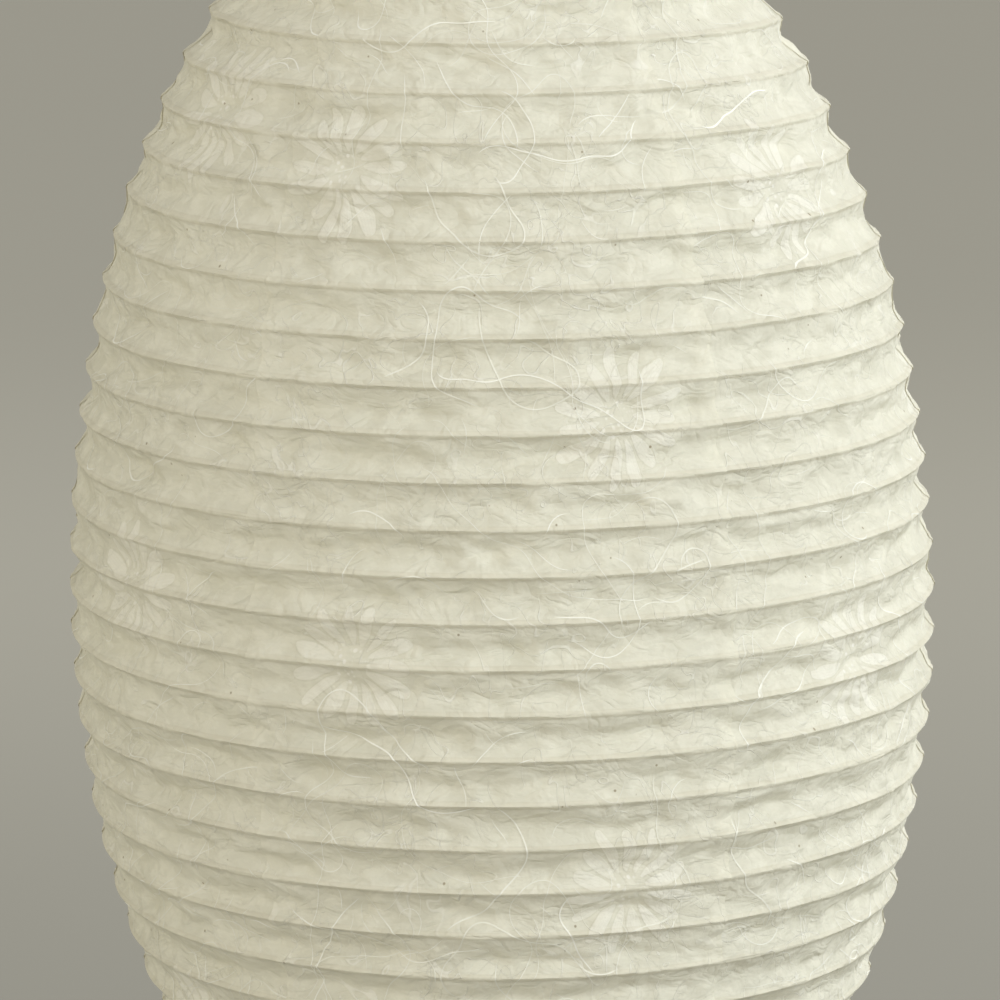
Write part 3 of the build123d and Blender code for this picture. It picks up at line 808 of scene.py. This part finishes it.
def tack(name, angle, z, material):
    """A domed tack head on the lap, its axis pointing outward."""
    sides = 16
    profile = ((0.0, 0.0006), (0.0006, 0.00052), (0.001, 0.0003), (0.0012, 0.0), (0.0012, -0.0006))
    spin = np.linspace(0, math.tau, sides, endpoint=False)
    outward = np.array([math.cos(angle), math.sin(angle), 0])
    aside = np.array([-math.sin(angle), math.cos(angle), 0])
    rings = [
        outward * (RIM_RADIUS + RIM_LAP_THICK + rise)
        + reach * (aside * np.cos(spin)[:, None] + np.array([0, 0, 1.0]) * np.sin(spin)[:, None])
        for reach, rise in profile
    ]
    points = np.vstack(rings) + np.array([0, 0, z])
    return new_object(name, points, grid_faces(len(profile), sides, closed=True), material)


def fold_with_body(piece):
    """The piece rides on the upper rim's body, with a mesh of its own."""
    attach(piece, "upper_rim")
    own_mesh(piece)


def rematerial(nodes, material):
    """Gives CAD nodes a new finish."""
    for name in nodes:
        for slot in frame["nodes"][name].material_slots:
            slot.material = material


# --- operators ------------------------------------------------------------------------------------
class LANTERN_OT_paper(bpy.types.Operator):
    """Builds the six pleated washi gores with their fibres"""

    bl_idname = "lantern.paper"
    bl_label = "Washi Gores"

    def execute(self, context):
        paper = context.scene.lantern_paper
        shape = PaperShape(paper)
        washi, fibre = washi_finish(), fibre_finish()
        for number in range(1, GORES + 1):
            gore = gore_mesh(shape, paper, number, washi)
            fibres = fibre_ribbons(shape, paper, number, fibre)
            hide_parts(f"paper_gore_{number}")
            for piece in (gore, fibres):
                fold_with_body(piece)
        return {"FINISHED"}


class LANTERN_OT_rib(bpy.types.Operator):
    """Builds the continuous split-bamboo spiral under the pleat crests"""

    bl_idname = "lantern.rib"
    bl_label = "Spiral Rib"

    def execute(self, context):
        shape = PaperShape(context.scene.lantern_paper)
        around, sides = 72, 8
        count = TURNS * around + 1
        turn = np.linspace(0, TURNS, count)
        angle, z = -turn * math.tau, SPIRAL_FOOT + turn * PITCH
        ahead = np.gradient(shape.crest(z), z)
        reach = shape.crest(z) - ROD_DEPTH - (ROD_RADIUS + ROD_CLEARANCE) * np.hypot(1, ahead)
        centre = np.stack([reach * np.cos(angle), reach * np.sin(angle), z], -1)
        outward = np.stack([np.cos(angle), np.sin(angle), 0 * angle], -1)
        spin = np.linspace(0, math.tau, sides, endpoint=False)
        upward = np.array([0, 0, 1.0])
        ring = outward[:, None] * np.cos(spin)[:, None] + upward * np.sin(spin)[:, None]
        points = centre[:, None] + ring * ROD_RADIUS
        faces = grid_faces(count, sides, closed=True)
        made = new_object("spiral_rib", points.reshape(-1, 3), faces, bamboo_finish())
        along = np.repeat(turn * math.tau * 0.1, sides)
        give_flat_map(made.data, "along_rod", np.stack([along, np.tile(spin / math.tau, count)], -1))
        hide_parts(*[node for node in frame["nodes"] if node.startswith("rib_turn_")])
        fold_with_body(made)
        return {"FINISHED"}


class LANTERN_OT_rims(bpy.types.Operator):
    """Finishes both bentwood rims and their trim strips, and builds the rims' lapped ends and tacks"""

    bl_idname = "lantern.rims"
    bl_label = "Rims and Trim"

    def execute(self, context):
        metal, wood = context.scene.lantern_metal, context.scene.lantern_wood
        bentwood = wood_finish("bentwood", wood.rim_colour, ring=True)
        tack_brass = metal_finish("tack_brass", metal.brass_colour, 0.3, 0.5)
        rematerial(("upper_rim", "lower_rim"), bentwood)
        rematerial(("upper_trim", "lower_trim"), trim_finish())
        for end in ("upper", "lower"):
            low, high = (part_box(f"{end}_rim")[side][2] for side in (0, 1))
            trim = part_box(f"{end}_trim")
            low, high = (trim[1][2], high) if end == "upper" else (low, trim[0][2])
            lap = rim_lap(f"{end}_rim_lap", wood.lap_angle, low + 0.0004, high - 0.0008, bentwood)
            middle = (low + high) / 2
            tacks = [
                tack(f"{end}_tack_{number}", wood.lap_angle + along, middle + up, tack_brass)
                for number, (along, up) in enumerate(TACK_PLACES, 1)
            ]
            for piece, slot in [(lap, "bentwood"), *((item, "brass") for item in tacks)]:
                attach(piece, f"{end}_rim")
        return {"FINISHED"}


class LANTERN_OT_bail(bpy.types.Operator):
    """Finishes the bail wires, the grip, the pivots and the hanging eye"""

    bl_idname = "lantern.bail"
    bl_label = "Bail and Grip"

    def execute(self, context):
        metal, wood = context.scene.lantern_metal, context.scene.lantern_wood
        brass = metal_finish("aged_brass", metal.brass_colour, 0.26, 0.55)
        rematerial(("hang_eye", "swivel_washers", "grip_ferrules"), brass)
        rematerial(("pivot_plate_right", "pivot_plate_left", "pivot_washers"), brass)
        rematerial(("pivot_rivet_right", "pivot_rivet_left"), brass)
        black_wire = metal_finish("black_wire", metal.wire_colour, 0.42, 0.3)
        rematerial(("bail_wire_right", "bail_wire_left"), black_wire)
        rematerial(("grip_bar",), wood_finish("grip_wood", wood.grip_colour))
        return {"FINISHED"}


class LANTERN_OT_candle_holder(bpy.types.Operator):
    """Finishes the candle bar, the wax dish and the cup"""

    bl_idname = "lantern.candle_holder"
    bl_label = "Candle Holder"

    def execute(self, context):
        metal, wood = context.scene.lantern_metal, context.scene.lantern_wood
        rematerial(("candle_bar",), wood_finish("bar_wood", wood.grip_colour))
        rematerial(
            ("candle_cup", "cup_screw", "cup_washer", "cup_nut", "bar_screws"),
            metal_finish("cup_brass", metal.brass_colour, 0.24, 0.5),
        )
        rematerial(("candle_dish",), metal_finish("tinned_steel", metal.dish_colour, 0.28, 0.35))
        return {"FINISHED"}


class LANTERN_OT_stage(bpy.types.Operator):
    """Lays the floor, lights the studio and sets the camera"""

    bl_idname = "lantern.stage"
    bl_label = "Stage"

    def execute(self, context):
        scene, stage = context.scene, context.scene.lantern_stage
        paper = scene.lantern_paper
        level = CAD_BOX[0][2] - stage.floor_drop
        corners = [(x * FLOOR_HALF, y * FLOOR_HALF, level) for x, y in ((-1, -1), (1, -1), (1, 1), (-1, 1))]
        floor = new_object("studio_floor", corners, [(0, 1, 2, 3)], floor_finish(stage))
        world = bpy.data.worlds.new("studio")
        world.use_nodes = True
        background = world.node_tree.nodes["Background"]
        background.inputs["Color"].default_value = WORLD_COLOUR
        background.inputs["Strength"].default_value = WORLD_STRENGTH
        scene.world = world
        widest = SPIRAL_FOOT + paper.lower_height
        aim = Vector((0, 0, widest + stage.aim_above_widest))
        for name, offset, size, power, colour in LIGHTS:
            self.light(name, aim, offset, size, power, colour)
        self.sun("sky", SKY_TOWARD, SKY_STRENGTH, SKY_SPREAD)
        back = Vector((0, -math.cos(stage.pitch), math.sin(stage.pitch)))
        lens = bpy.data.cameras.new("camera")
        lens.lens, lens.sensor_width = stage.lens, SENSOR_WIDTH
        lens.clip_start, lens.clip_end = 0.05, 100.0
        camera = bpy.data.objects.new("camera", lens)
        camera.location = aim + back * stage.distance
        facing = (-back).to_track_quat("-Z", "Y").to_matrix()
        camera.rotation_euler = (facing @ Matrix.Rotation(stage.roll, 3, "Z")).to_euler()
        scene.collection.objects.link(camera)
        scene.camera = camera
        scene.view_settings.view_transform = "Standard"
        return {"FINISHED"}

    def light(self, name, aim, offset, size, power, colour):
        """A square lamp that faces the aimed point."""
        data = bpy.data.lights.new(name, "AREA")
        data.size, data.energy, data.color = size, power, colour
        made = bpy.data.objects.new(name, data)
        made.location = aim + Vector(offset)
        made.rotation_euler = (-Vector(offset)).to_track_quat("-Z", "Y").to_euler()
        bpy.context.scene.collection.objects.link(made)

    def sun(self, name, toward, strength, spread):
        """A soft sun that shines from the given direction."""
        data = bpy.data.lights.new(name, "SUN")
        data.energy, data.angle = strength, spread
        made = bpy.data.objects.new(name, data)
        made.rotation_euler = (-Vector(toward)).to_track_quat("-Z", "Y").to_euler()
        bpy.context.scene.collection.objects.link(made)


def floor_finish(stage):
    """A plain pale floor, faintly mottled. Painted light: behind the lantern it first lightens, then darkens
    a little.
    """
    f = Finish("pale_floor")
    here = f.place()
    mottle = f.noise(here, 1.5, 3.0, 0.5)
    away = f.parts(here)[1]
    # Painted light: a lighter band from 1.5 to 3.3 m behind the lantern, then a little painted shade past
    # it.
    painted_light_and_mottle = away.band(1.5, 3.3) * 0.46 - away.band(3.3, 4.6) * 0.10 + mottle * 0.02
    tone = f.blend(painted_light_and_mottle, shade(stage.floor_colour, 0.85), shade(stage.floor_colour, 1.85))
    rough = 0.85 + mottle * 0.05
    return f.done(f.shader(Base_Color=tone, Roughness=rough, Normal=f.bump(mottle, 0.02, 0.001)))


class LANTERN_PT_sidebar(bpy.types.Panel):
    """Lists the lantern's builders"""

    bl_label = "Paper Lantern"
    bl_space_type = "VIEW_3D"
    bl_region_type = "UI"
    bl_category = "Lantern"

    def draw(self, context):
        for operator in OPERATORS:
            self.layout.operator(operator.bl_idname)


OPERATORS = (
    LANTERN_OT_stage,
    LANTERN_OT_paper,
    LANTERN_OT_rib,
    LANTERN_OT_rims,
    LANTERN_OT_bail,
    LANTERN_OT_candle_holder,
)
GROUPS = {
    "lantern_paper": PaperSettings,
    "lantern_wood": WoodSettings,
    "lantern_metal": MetalSettings,
    "lantern_stage": StageSettings,
}


def register():
    for item in (*GROUPS.values(), *OPERATORS, LANTERN_PT_sidebar):
        bpy.utils.register_class(item)
    for name, group in GROUPS.items():
        setattr(bpy.types.Scene, name, PointerProperty(type=group))


def unregister():
    for name in GROUPS:
        delattr(bpy.types.Scene, name)
    for item in reversed((*GROUPS.values(), *OPERATORS, LANTERN_PT_sidebar)):
        bpy.utils.unregister_class(item)


def main():
    register()
    for operator in OPERATORS:
        group, name = operator.bl_idname.split(".")
        getattr(getattr(bpy.ops, group), name)()


if __name__ == "__main__":
    main()
